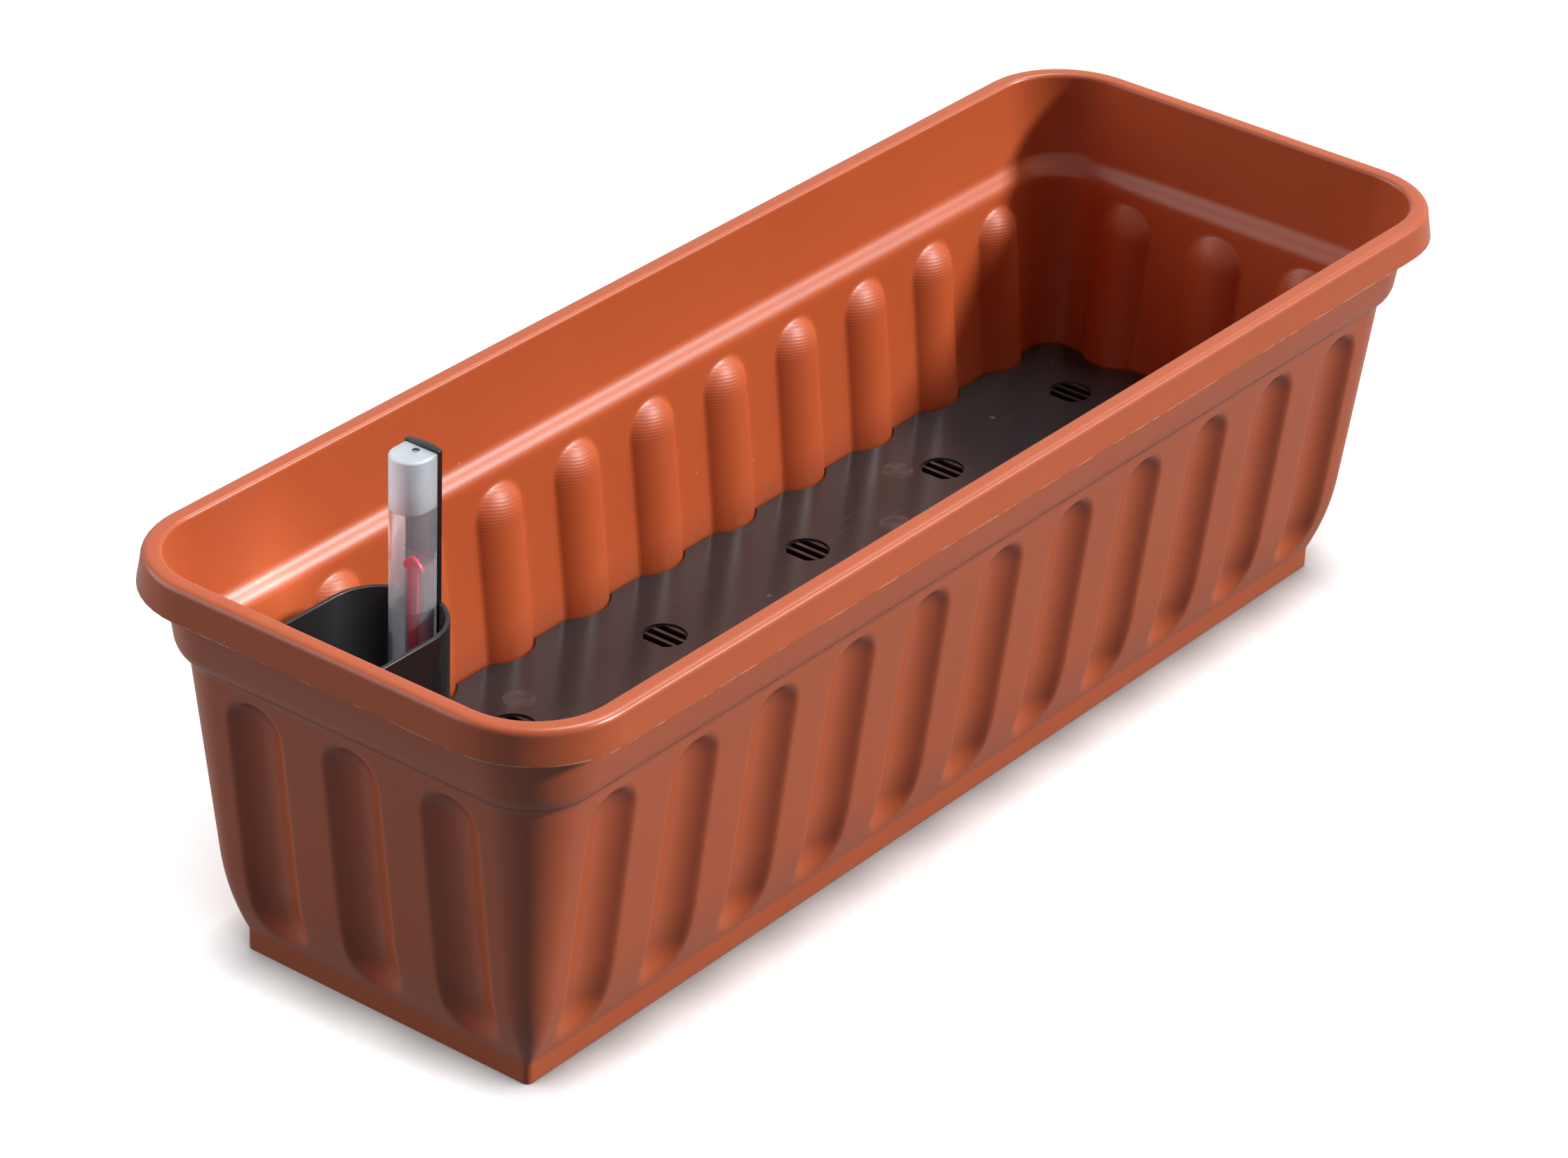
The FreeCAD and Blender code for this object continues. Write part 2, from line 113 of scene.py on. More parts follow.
class Wiring:
    """Adds and joins shader nodes in one tree."""

    def __init__(self, tree: bpy.types.NodeTree) -> None:
        """Works on the given tree."""
        self.tree = tree

    def add(self, kind: str, inputs: Optional[dict] = None, **settings: object) -> bpy.types.Node:
        """Adds a node.

        Args:
            kind: node type, as in "ShaderNodeMath".
            inputs: socket name or number to a value or an output socket.
            settings: attributes of the node.

        Returns:
            The new node.
        """
        node = self.tree.nodes.new(kind)
        for name, value in settings.items():
            setattr(node, name, value)
        for key, value in (inputs or {}).items():
            if isinstance(value, bpy.types.NodeSocket):
                self.tree.links.new(value, node.inputs[key])
            else:
                node.inputs[key].default_value = value
        return node

    def math(self, operation: str, *values: object, clamp: bool = False) -> bpy.types.NodeSocket:
        """Adds a Math node and returns its output."""
        node = self.add("ShaderNodeMath", dict(enumerate(values)), operation=operation, use_clamp=clamp)
        return node.outputs[0]

    def ramp(self, value: bpy.types.NodeSocket, low: float, high: float) -> bpy.types.NodeSocket:
        """Maps low..high smoothly to 0..1 and returns the output."""
        inputs = {"Value": value, "From Min": low, "From Max": high}
        return self.add("ShaderNodeMapRange", inputs, interpolation_type="SMOOTHSTEP").outputs["Result"]

    def blend(self, factor: object, a: object, b: object) -> bpy.types.NodeSocket:
        """Mixes two colours and returns the output."""
        node = self.add("ShaderNodeMix", data_type="RGBA")
        for name, value in (("Factor", factor), ("A", a), ("B", b)):
            socket = next(s for s in node.inputs if s.name == name and s.enabled)
            if isinstance(value, bpy.types.NodeSocket):
                self.tree.links.new(value, socket)
            else:
                socket.default_value = value
        return next(s for s in node.outputs if s.enabled)


def new_group(name: str, inputs: dict[str, float],
              outputs: Sequence[str]) -> tuple[bpy.types.NodeTree, Wiring, dict, dict]:
    """Starts a shader node group with float sockets.

    Args:
        name: name of the group.
        inputs: input names and their defaults.
        outputs: output names.

    Returns:
        The group, its wiring, its input sockets by name, and its output sockets by name.
    """
    group = bpy.data.node_groups.new(name, "ShaderNodeTree")
    for key, value in inputs.items():
        socket = group.interface.new_socket(name=key, in_out="INPUT", socket_type="NodeSocketFloat")
        socket.default_value = value
    for key in outputs:
        group.interface.new_socket(name=key, in_out="OUTPUT", socket_type="NodeSocketFloat")
    wiring = Wiring(group)
    source = wiring.add("NodeGroupInput")
    sink = wiring.add("NodeGroupOutput")
    return group, wiring, {s.name: s for s in source.outputs}, {s.name: s for s in sink.inputs}


def grain_group() -> bpy.types.NodeTree:
    """Moulded surface: fine orange peel height, and a slow cloudy tone."""
    group, w, given, out = new_group("moulded_grain", {"Scale": 900.0}, ("Height", "Cloud"))
    place = w.add("ShaderNodeTexCoord").outputs["Object"]
    fine_peel = {"Vector": place, "Scale": given["Scale"], "Detail": 3.0, "Roughness": 0.6}
    fine = w.add("ShaderNodeTexNoise", fine_peel)
    broad_scale = w.math("MULTIPLY", given["Scale"], 0.22)
    broad = w.add("ShaderNodeTexNoise", {"Vector": place, "Scale": broad_scale, "Detail": 2.0})
    cloud = w.add("ShaderNodeTexNoise", {"Vector": place, "Scale": 14.0, "Detail": 5.0, "Roughness": 0.55})
    fine_share = w.math("MULTIPLY", fine.outputs[0], 0.6)
    height = w.math("ADD", fine_share, w.math("MULTIPLY", broad.outputs[0], 0.4))
    w.tree.links.new(height, out["Height"])
    w.tree.links.new(w.ramp(cloud.outputs[0], 0.3, 0.7), out["Cloud"])
    return group


def speck_group() -> bpy.types.NodeTree:
    """Sparse small specks of dust and moulding flecks."""
    group, w, given, out = new_group("specks", {"Scale": 160.0, "Share": 0.1, "Size": 0.14}, ("Mask",))
    place = w.add("ShaderNodeTexCoord").outputs["Object"]
    cells = w.add("ShaderNodeTexVoronoi", {"Vector": place, "Scale": given["Scale"], "Randomness": 1.0})
    pick = w.add("ShaderNodeSeparateColor", {"Color": cells.outputs["Color"]})
    chosen = w.math("LESS_THAN", pick.outputs[0], given["Share"])
    grown = w.math("MULTIPLY", given["Size"], w.math("ADD", pick.outputs[1], 0.4))
    inside = w.math("SUBTRACT", 1.0, w.math("DIVIDE", cells.outputs["Distance"], grown), clamp=True)
    mask = w.math("MULTIPLY", w.math("MULTIPLY", inside, 3.0, clamp=True), chosen)
    w.tree.links.new(mask, out["Mask"])
    return group


def scuff_group() -> bpy.types.NodeTree:
    """Thin faint scratches in two directions."""
    group, w, given, out = new_group("scuffs", {"Scale": 22.0, "Amount": 1.0}, ("Mask",))
    place = w.add("ShaderNodeTexCoord").outputs["Object"]
    marks = []
    for turn, stretch in ((0.45, 34.0), (-0.8, 26.0)):
        lay = {"Vector": place, "Rotation": (0.0, 0.0, turn), "Scale": (1.0, stretch, 1.0)}
        laid = w.add("ShaderNodeMapping", lay).outputs[0]
        lines = w.add("ShaderNodeTexNoise", {"Vector": laid, "Scale": given["Scale"], "Detail": 2.0})
        marks.append(w.ramp(lines.outputs[0], 0.69, 0.74))
    both = w.math("MULTIPLY", w.math("ADD", *marks, clamp=True), given["Amount"])
    w.tree.links.new(both, out["Mask"])
    return group


@dataclass(frozen=True)
class Effects:
    """Node groups shared by the finishes."""

    grain: bpy.types.NodeTree = field(default_factory=grain_group)
    specks: bpy.types.NodeTree = field(default_factory=speck_group)
    scuffs: bpy.types.NodeTree = field(default_factory=scuff_group)


# ---------------------------------------------------------------- finishes


@dataclass(frozen=True)
class Plastic:
    """A moulded plastic: colour with cloudy variation, specks, grain and scuffs."""

    name: str
    colour: Triple
    shade: Triple
    speck: Triple
    roughness: float
    specular: float = 0.5
    grain_scale: float = 900.0
    grain_depth: float = 0.00002
    speck_scale: float = 160.0
    speck_share: float = 0.1
    speck_size: float = 0.14
    scuffs: float = 0.0
    scuff_roughness: float = 0.18
    scuff_depth: float = 0.4
    roughness_spread: float = 0.08

    def material(self, effects: Effects) -> bpy.types.Material:
        """Builds the material.

        Args:
            effects: the shared node groups.

        Returns:
            A material with one Principled shader.
        """
        material = bpy.data.materials.new(self.name)
        material.use_nodes = True
        w = Wiring(material.node_tree)
        shader = material.node_tree.nodes["Principled BSDF"]
        grain = w.add("ShaderNodeGroup", node_tree=effects.grain)
        grain.inputs["Scale"].default_value = self.grain_scale
        specks = w.add("ShaderNodeGroup", node_tree=effects.specks)
        specks.inputs["Scale"].default_value = self.speck_scale
        specks.inputs["Share"].default_value = self.speck_share
        specks.inputs["Size"].default_value = self.speck_size
        scuffs = w.add("ShaderNodeGroup", node_tree=effects.scuffs)
        scuffs.inputs["Amount"].default_value = self.scuffs
        colour = w.blend(grain.outputs["Cloud"], (*self.shade, 1.0), (*self.colour, 1.0))
        colour = w.blend(specks.outputs["Mask"], colour, (*self.speck, 1.0))
        rough = w.math("MULTIPLY", w.math("SUBTRACT", grain.outputs["Height"], 0.5), self.roughness_spread)
        rough = w.math("ADD", rough, w.math("MULTIPLY", scuffs.outputs["Mask"], self.scuff_roughness))
        rough = w.math("ADD", rough, self.roughness)
        scratched = w.math("MULTIPLY", scuffs.outputs["Mask"], self.scuff_depth)
        height = w.math("SUBTRACT", grain.outputs["Height"], scratched)
        colour, rough, height = self.extra(w, colour, rough, height)
        bump = w.add("ShaderNodeBump", {"Height": height, "Distance": self.grain_depth, "Strength": 1.0})
        w.tree.links.new(colour, shader.inputs["Base Color"])
        w.tree.links.new(rough, shader.inputs["Roughness"])
        w.tree.links.new(bump.outputs[0], shader.inputs["Normal"])
        shader.inputs["Specular IOR Level"].default_value = self.specular
        return material

    def extra(self, w: Wiring, colour: object, rough: object, height: object) -> Feeds:
        """Adds nothing on a plain moulding."""
        return colour, rough, height


@dataclass(frozen=True)
class TroughPlastic(Plastic):
    """Terracotta moulding with tool marks on the rib tops and pale flash along the lip."""

    flash: Triple = (0.86, 0.45, 0.30)
    mark_pitch: float = 0.00135
    mark_depth: float = 3.2
    mark_roughness: float = 0.14
    mark_wander: float = 0.0016
    mark_slant: float = 0.12

    def extra(self, w: Wiring, colour: object, rough: object, height: object) -> Feeds:
        """Adds the stepped tool marks and the lip's flash.

        Args:
            w: wiring of the material.
            colour: colour so far.
            rough: roughness so far.
            height: bump height so far.

        Returns:
            Colour, roughness and height with the marks.
        """
        place = w.add("ShaderNodeTexCoord").outputs["Object"]
        cap = w.add("ShaderNodeAttribute", attribute_name="rib_cap").outputs["Fac"]
        edge = w.add("ShaderNodeAttribute", attribute_name="lip_edge").outputs["Fac"]
        seat = w.add("ShaderNodeSeparateXYZ", {"Vector": place})
        wander = w.add("ShaderNodeTexNoise", {"Vector": place, "Scale": 60.0, "Detail": 1.0}).outputs[0]
        level = w.math("ADD", seat.outputs[2], w.math("MULTIPLY", wander, self.mark_wander))
        slant = w.math("ADD", level, w.math("MULTIPLY", seat.outputs[0], self.mark_slant))
        steps = w.math("PINGPONG", w.math("DIVIDE", slant, self.mark_pitch), 0.5)
        height = w.math("ADD", height, w.math("MULTIPLY", w.math("MULTIPLY", steps, cap), self.mark_depth))
        rough = w.math("ADD", rough, w.math("MULTIPLY", cap, self.mark_roughness))
        torn = {"Vector": place, "Scale": 55.0, "Detail": 6.0, "Roughness": 0.7}
        ragged = w.add("ShaderNodeTexNoise", torn)
        nicks = w.math("MULTIPLY", w.ramp(ragged.outputs[0], 0.46, 0.56), edge)
        colour = w.blend(nicks, colour, (*self.flash, 1.0))
        return colour, rough, height


@dataclass(frozen=True)
class PlatePlastic(Plastic):
    """Black moulding of the false floor, with pale ejector circles."""

    circles: tuple[Point, ...] = (
        (127.4, 54.8), (90.4, 27.8), (-121.5, 53.1), (-31.0, -60.0), (214.0, -30.0))
    circle_radius: float = 7.0
    circle_edge: float = 0.5
    circle_share: float = 0.55
    circle_roughness: float = 0.10
    circle_tone: Triple = (0.125, 0.11, 0.105)

    def extra(self, w: Wiring, colour: object, rough: object, height: object) -> Feeds:
        """Adds the ejector circles.

        Args:
            w: wiring of the material.
            colour: colour so far.
            rough: roughness so far.
            height: bump height so far.

        Returns:
            Colour, roughness and height with the circles.
        """
        place = w.add("ShaderNodeTexCoord").outputs["Object"]
        flatten = {0: place, 1: (1.0, 1.0, 0.0)}
        flat = w.add("ShaderNodeVectorMath", flatten, operation="MULTIPLY").outputs[0]
        inner, outer = (self.circle_radius - self.circle_edge) * MM, self.circle_radius * MM
        discs = None
        for x, y in self.circles:
            away = w.add("ShaderNodeVectorMath", {0: flat, 1: (x * MM, y * MM, 0.0)}, operation="DISTANCE")
            inside = w.math("SUBTRACT", 1.0, w.ramp(away.outputs["Value"], inner, outer))
            discs = inside if discs is None else w.math("MAXIMUM", discs, inside)
        wear = w.add("ShaderNodeTexNoise", {"Vector": place, "Scale": 220.0, "Detail": 4.0}).outputs[0]
        mask = w.math("MULTIPLY", discs, w.ramp(wear, 0.2, 0.75))
        colour = w.blend(w.math("MULTIPLY", mask, self.circle_share), colour, (*self.circle_tone, 1.0))
        rough = w.math("ADD", rough, w.math("MULTIPLY", mask, self.circle_roughness))
        return colour, rough, height


@dataclass(frozen=True)
class TubePlastic:
    """Clear or frosted plastic of the gauge tube."""

    name: str
    colour: Triple
    roughness: float
    transmission: float
    shadow: float
    grain_depth: float
    grain_scale: float = 1400.0
    scuff_scale: float = 60.0
    scuff_roughness: float = 0.1
    roughness_spread: float = 0.05
    cloud_tone: float = 0.93
    ior: float = 1.49

    def material(self, effects: Effects) -> bpy.types.Material:
        """Builds the material.

        Args:
            effects: the shared node groups.

        Returns:
            A transmitting material that lets part of the light through to the pointer.
        """
        material = bpy.data.materials.new(self.name)
        material.use_nodes = True
        w = Wiring(material.node_tree)
        shader = material.node_tree.nodes["Principled BSDF"]
        grain = w.add("ShaderNodeGroup", node_tree=effects.grain)
        grain.inputs["Scale"].default_value = self.grain_scale
        scuffs = w.add("ShaderNodeGroup", node_tree=effects.scuffs)
        scuffs.inputs["Scale"].default_value = self.scuff_scale
        deeper = tuple(self.cloud_tone * value for value in self.colour)
        colour = w.blend(grain.outputs["Cloud"], (*deeper, 1.0), (*self.colour, 1.0))
        uneven = w.math("MULTIPLY", grain.outputs["Height"], self.roughness_spread)
        rough = w.math("ADD", uneven, self.roughness - self.roughness_spread / 2)
        rough = w.math("ADD", rough, w.math("MULTIPLY", scuffs.outputs["Mask"], self.scuff_roughness))
        shade = w.math("MULTIPLY", w.add("ShaderNodeLightPath").outputs["Is Shadow Ray"], 1.0 - self.shadow)
        bump = w.add("ShaderNodeBump", {"Height": grain.outputs["Height"], "Distance": self.grain_depth})
        w.tree.links.new(colour, shader.inputs["Base Color"])
        w.tree.links.new(rough, shader.inputs["Roughness"])
        w.tree.links.new(w.math("SUBTRACT", 1.0, shade), shader.inputs["Alpha"])
        w.tree.links.new(bump.outputs[0], shader.inputs["Normal"])
        shader.inputs["Transmission Weight"].default_value = self.transmission
        shader.inputs["IOR"].default_value = self.ior
        return material


TERRACOTTA = TroughPlastic(
    "terracotta_moulding", (0.56, 0.112, 0.034), (0.53, 0.103, 0.031), (0.70, 0.27, 0.15), roughness=0.315,
    specular=0.56, grain_scale=1700.0, grain_depth=0.000032, speck_scale=190.0, speck_share=0.03,
    speck_size=0.08)
PLATE_BLACK = PlatePlastic(
    "plate_moulding", (0.031, 0.038, 0.041), (0.026, 0.032, 0.035), (0.14, 0.135, 0.135), roughness=0.2,
    specular=0.6, grain_scale=700.0, speck_scale=130.0, speck_share=0.06, scuffs=1.0, roughness_spread=0.12)
SHAFT_BLACK = Plastic(
    "shaft_moulding", (0.013, 0.013, 0.014), (0.010, 0.010, 0.011), (0.10, 0.10, 0.10), roughness=0.30,
    grain_depth=0.00001, speck_share=0.03, scuffs=0.6)
CLEAR_WINDOW = TubePlastic("clear_window", (0.86, 0.91, 0.96), 0.05, 0.93, 0.2, 0.000002)
FROSTED_BAND = TubePlastic("frosted_band", (0.78, 0.83, 0.87), 0.33, 0.70, 0.3, 0.000006)
MISTED_BAND = TubePlastic("misted_band", (0.84, 0.88, 0.92), 0.18, 0.86, 0.3, 0.000004)
# Painted glow and highlight: a paler, hazier finish for the tube's far side and back edge, where light in
# the tube and on its edge shows.
PAINTED_GLOW_SIDE = TubePlastic("painted_glow_side", (0.88, 0.87, 0.90), 0.14, 0.84, 0.4, 0.000004)
POINTER_RED = Plastic(
    "pointer_red", (0.86, 0.045, 0.10), (0.78, 0.035, 0.085), (0.95, 0.35, 0.38), roughness=0.3,
    grain_depth=0.00001, speck_scale=400.0)
FOAM = Plastic(
    "closed_cell_foam", (0.78, 0.78, 0.75), (0.66, 0.66, 0.64), (0.5, 0.5, 0.5), roughness=0.8, specular=0.3,
    grain_scale=1400.0, grain_depth=0.00012, speck_scale=900.0, speck_share=0.3)
RUBBER = Plastic(
    "plug_rubber", (0.028, 0.027, 0.026), (0.020, 0.020, 0.020), (0.12, 0.11, 0.10), roughness=0.6,
    grain_depth=0.00003, speck_share=0.08, scuffs=0.5)


# ---------------------------------------------------------------- modelling helpers


def clear_selection() -> None:
    """Leaves nothing selected and no active object."""
    if bpy.context.mode != "OBJECT":
        bpy.ops.object.mode_set(mode="OBJECT")
    bpy.ops.object.select_all(action="DESELECT")
    bpy.context.view_layer.objects.active = None


def make_active(piece: bpy.types.Object) -> None:
    """Selects only this piece and makes it active."""
    clear_selection()
    piece.select_set(True)
    bpy.context.view_layer.objects.active = piece


def select_in_edit(piece: bpy.types.Object, kind: str, test: Callable[[np.ndarray], np.ndarray]) -> None:
    """Selects vertices, edges or faces by their middle; leaves the piece in edit mode.

    Args:
        piece: mesh object.
        kind: "VERT", "EDGE" or "FACE".
        test: takes the middles, one row each in metres, and returns a mask.
    """
    make_active(piece)
    mesh = piece.data
    points = np.empty(len(mesh.vertices) * 3)
    mesh.vertices.foreach_get("co", points)
    points = points.reshape(-1, 3)
    for layer in (mesh.vertices, mesh.edges, mesh.polygons):
        layer.foreach_set("select", np.zeros(len(layer), bool))
    if kind == "VERT":
        chosen, layer = points, mesh.vertices
    elif kind == "EDGE":
        ends = np.empty(len(mesh.edges) * 2, int)
        mesh.edges.foreach_get("vertices", ends)
        chosen, layer = points[ends].reshape(-1, 2, 3).mean(1), mesh.edges
    else:
        chosen = np.empty(len(mesh.polygons) * 3)
        mesh.polygons.foreach_get("center", chosen)
        chosen, layer = chosen.reshape(-1, 3), mesh.polygons
    layer.foreach_set("select", test(chosen))
    bpy.ops.object.mode_set(mode="EDIT")
    bpy.ops.mesh.select_mode(type=kind)


def everything(middles: np.ndarray) -> np.ndarray:
    """Mask that takes every vertex, edge or face."""
    return np.ones(len(middles), bool)


def apply_modifier(piece: bpy.types.Object, kind: str, **settings: object) -> None:
    """Adds a modifier with these settings and applies it."""
    make_active(piece)
    modifier = piece.modifiers.new(kind.lower(), kind)
    for name, value in settings.items():
        setattr(modifier, name, value)
    bpy.ops.object.modifier_apply(modifier=modifier.name)


def smooth(piece: bpy.types.Object, degrees: float) -> None:
    """Shades smooth, with edges sharper than this kept sharp."""
    make_active(piece)
    bpy.ops.object.shade_smooth_by_angle(angle=math.radians(degrees))


def dress(piece: bpy.types.Object, *materials: bpy.types.Material) -> None:
    """Gives the piece these materials in order."""
    piece.data.materials.clear()
    for material in materials:
        piece.data.materials.append(material)


def place_in_frame(piece: bpy.types.Object, body: Body, node: str) -> None:
    """Lets the piece stand for a CAD node on a body."""
    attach(piece, body.value)
    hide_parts(node)
    log.info("%s stands for %s, %d faces", piece.name, node, len(piece.data.polygons))


def merged_copy(node: str, name: str) -> bpy.types.Object:
    """Copies a CAD node's mesh into a new piece with whole, flat faces.

    Args:
        node: name of the CAD node.
        name: name of the new piece.

    Returns:
        The new piece, merged and with its flat faces joined.
    """
    clear_selection()
    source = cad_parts[node]
    piece = bpy.data.objects.new(name, source.data.copy())
    bpy.context.scene.collection.objects.link(piece)
    select_in_edit(piece, "VERT", everything)
    bpy.ops.mesh.remove_doubles(threshold=MERGE)
    bpy.ops.mesh.dissolve_limited(angle_limit=math.radians(FLAT_DEGREES), delimit=set())
    bpy.ops.object.mode_set(mode="OBJECT")
    return piece


def soften(piece: bpy.types.Object, width: float, segments: int = 2, degrees: float = 30.0) -> None:
    """Rounds the sharp edges of a piece, width in millimetres."""
    apply_modifier(piece, "BEVEL", width=width * MM, segments=segments, limit_method="ANGLE",
                   angle_limit=math.radians(degrees), use_clamp_overlap=True, harden_normals=False)
    smooth(piece, SMOOTH_DEGREES)


# ---------------------------------------------------------------- trough


@dataclass(frozen=True)
class Row:
    """One level line of the section: place, outward lean, distance along the wall, and side."""

    rho: float
    z: float
    lean: float = 0.0
    along: float = 0.0
    wall: Wall = Wall.PLAIN
    lip: float = 0.0


@dataclass(frozen=True)
class Column:
    """One upright line of the trough: place on the core rectangle, direction, and place in its flute."""

    x: float
    y: float
    angle: float
    across: float


def fillet(start: Point, corner: Point, end: Point, count: int) -> list[Row]:
    """Rows along a rounding from start to end, whose tangents meet at the corner."""
    rows = []
    for step in np.linspace(0.0, 1.0, count):
        weights = ((1 - step) ** 2, 2 * step * (1 - step), step ** 2)
        rho = sum(weight * point[0] for weight, point in zip(weights, (start, corner, end)))
        z = sum(weight * point[1] for weight, point in zip(weights, (start, corner, end)))
        rows.append(Row(float(rho), float(z)))
    return rows


@dataclass
class Trough:
    """The fluted box, one section carried round a rounded rectangle, with soft edged flutes."""

    lip_r: float = 42.5
    rim_z: float = 176.0
    wall: float = 2.2
    belly_z: float = 45.7
    belly_r: float = 13.5
    foot_z: float = 9.1
    foot_r: float = 2.8
    foot_inner_r: float = 0.6
    foot_chamfer: float = 0.3
    foot_round: float = 0.6
    foot_band_z: float = 4.5
    foot_tuck: float = 0.5
    belly_steps: int = 17
    wall_stations: tuple[float, ...] = (0.0, 20.0, 40.0, 58.0)
    cap_below: float = 3.0
    cap_above: float = 15.5
    cap_step: float = 1.15
    cap_fade: float = 5.0
    groove_z: float = 131.0
    groove_r: float = 23.4
    groove_reach: float = 1.5
    crease_out: float = 1.0
    neck_swell: Point = (1.6, -0.8)
    neck_rise: Point = (2.3, 16.0)
    neck_z: float = 140.5
    neck_r: float = 29.3
    neck_top_r: float = 34.0
    flange_z: float = 173.6
    flange_round: Point = (1.0, 1.2)
    lip_z: float = 162.0
    lip_top_r: float = 40.8
    lip_wall: float = 2.1
    lip_chamfer: float = 0.3
    lip_bead: tuple[Point, ...] = ((0.35, 0.0), (0.02, 0.45), (0.07, 0.95), (0.8, 5.0))
    rim_round: float = 3.6
    mouth_r: float = 32.3
    mouth_round: float = 2.2
    ledge_rise: float = 7.5
    ledge_shelf: float = 3.2
    ledge_middle: Point = (-2.7, -1.5)
    ledge_drop: float = 6.6
    ledge_lean: float = 0.78
    ledge_knee: float = 3.1
    ledge_step: float = 3.6
    floor_z: float = 8.4
    floor_under: float = 6.0
    floor_chamfer: float = 0.3
    floor_lap: float = 0.35
    cutter_r: float = 17.0
    cutter_depth: float = 6.0
    flute_top: float = 113.5
    flute_foot: float = 26.0
    pitch: float = 47.5
    side_flutes: int = 11
    end_flutes: int = 3
    outer_softness: float = 1.7
    inner_softness: float = 0.5
    corner_steps: int = 12
    crease_degrees: float = 38.0
    drains: tuple[Point, ...] = ((-216.0, -20.0), (232.0, -20.0))
    drain_r: float = 6.0
    drain_steps: int = 40
    across_steps: tuple[float, ...] = (2.6, 5.2, 7.6, 9.5, 10.9, 12.0, 12.9, 13.8, 15.0, 17.5)

    def build(self, effects: Effects) -> None:
        """Builds and dresses the trough.

        Args:
            effects: the shared node groups.
        """
        low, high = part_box("planter_box")
        core_x = (high[0] - low[0]) / 2 / MM - self.lip_r
        core_y = (high[1] - low[1]) / 2 / MM - self.lip_r
        rows = self.rows()
        columns = self.columns(core_x, core_y)
        piece = self.sweep(rows, columns)
        self.close_floors(piece)
        smooth(piece, self.crease_degrees)
        dress(piece, TERRACOTTA.material(effects))
        place_in_frame(piece, Body.TROUGH, "planter_box")

    def slope(self) -> float:
        """Lean of the straight wall from the upright."""
        return math.atan2(self.groove_r - self.belly_r, self.groove_z - self.belly_z)

    def flute_head(self) -> float:
        """Distance along the wall from the belly to the middle of a flute's round top."""
        return (self.flute_top - self.belly_z) / math.cos(self.slope())

    def belly(self) -> tuple[float, float, float, float]:
        """Centre rho and z, radius and end angle of the belly's arc."""
        run = self.belly_r - self.foot_r
        drop = self.belly_z - self.foot_z
        lean = math.atan2(run, drop)
        radius = math.hypot(run, drop) / (2 * math.sin(lean - self.slope()))
        centre_rho = self.belly_r - radius * math.cos(self.slope())
        centre_z = self.belly_z + radius * math.sin(self.slope())
        return centre_rho, centre_z, radius, 2 * lean - self.slope()

    def body_rows(self, wall: Wall, top_z: float) -> list[Row]:
        """Rows of the fluted wall from the foot to top_z, dense where the flutes end.

        Args:
            wall: which side of the wall.
            top_z: height where the straight wall stops.

        Returns:
            The rows from low to high.
        """
        inset = 0.0 if wall is Wall.OUTSIDE else self.wall
        slope = self.slope()
        centre_rho, centre_z, radius, end = self.belly()
        rows = []
        for angle in np.linspace(end, slope, self.belly_steps)[:-1]:
            rho = centre_rho + (radius - inset) * math.cos(angle)
            z = centre_z - (radius - inset) * math.sin(angle)
            rows.append(Row(rho, z, float(angle), -radius * (angle - slope), wall))
        foot_rho = self.belly_r - inset * math.cos(slope)
        foot_z = self.belly_z + inset * math.sin(slope)
        head = self.flute_head()
        stations = list(self.wall_stations)
        stations += list(np.arange(head - self.cap_below, head + self.cap_above, self.cap_step))
        stations.append((top_z - foot_z) / math.cos(slope))
        for along in stations:
            rho = foot_rho + along * math.sin(slope)
            rows.append(Row(rho, foot_z + along * math.cos(slope), slope, along, wall))
        return rows

    def rows(self) -> list[Row]:
        """The whole section, from under the floor, up the outside, over the rim and down to the floor."""
        outside = self.body_rows(Wall.OUTSIDE, self.groove_z - self.groove_reach)
        low_z = self.groove_z + self.ledge_rise - self.ledge_drop
        inside = list(reversed(self.body_rows(Wall.INSIDE, low_z)))
        rows = self.foot_rows() + outside + self.neck_rows((outside[-1].rho, outside[-1].z))
        rows += self.lip_rows() + self.mouth_rows() + self.ledge_rows(low_z) + inside
        rows.append(Row(inside[-1].rho - self.floor_lap, self.floor_z + self.floor_chamfer))
        rows.append(Row(self.floor_chamfer, self.floor_z))
        return rows

    def foot_rows(self) -> list[Row]:
        """The standing ring, from the floor's underside to the plinth's top."""
        rows = [Row(self.foot_inner_r, self.floor_under), Row(self.foot_inner_r, self.foot_chamfer),
                Row(self.foot_inner_r + self.foot_chamfer, 0.0)]
        start, corner = (self.foot_r - self.foot_round, 0.0), (self.foot_r, 0.0)
        rows += fillet(start, corner, (self.foot_r, self.foot_round), 4)
        return rows + [Row(self.foot_r, self.foot_band_z), Row(self.foot_r, self.foot_z - self.foot_tuck)]

    def neck_rows(self, under: Point) -> list[Row]:
        """The groove over the flutes and the swelling neck, up to the flange.

        Args:
            under: the last place of the fluted wall.

        Returns:
            The rows from low to high.
        """
        crease = (self.groove_r + self.crease_out, self.groove_z + self.groove_reach)
        middle = ((crease[0] + self.neck_r) / 2 + self.neck_swell[0],
                  (crease[1] + self.neck_z) / 2 + self.neck_swell[1])
        rows = fillet(under, (self.groove_r, self.groove_z), crease, 5)[1:]
        rows += fillet(crease, middle, (self.neck_r, self.neck_z), 8)[1:]
        rows.append(Row(self.neck_r + self.neck_rise[0], self.neck_z + self.neck_rise[1]))
        return rows

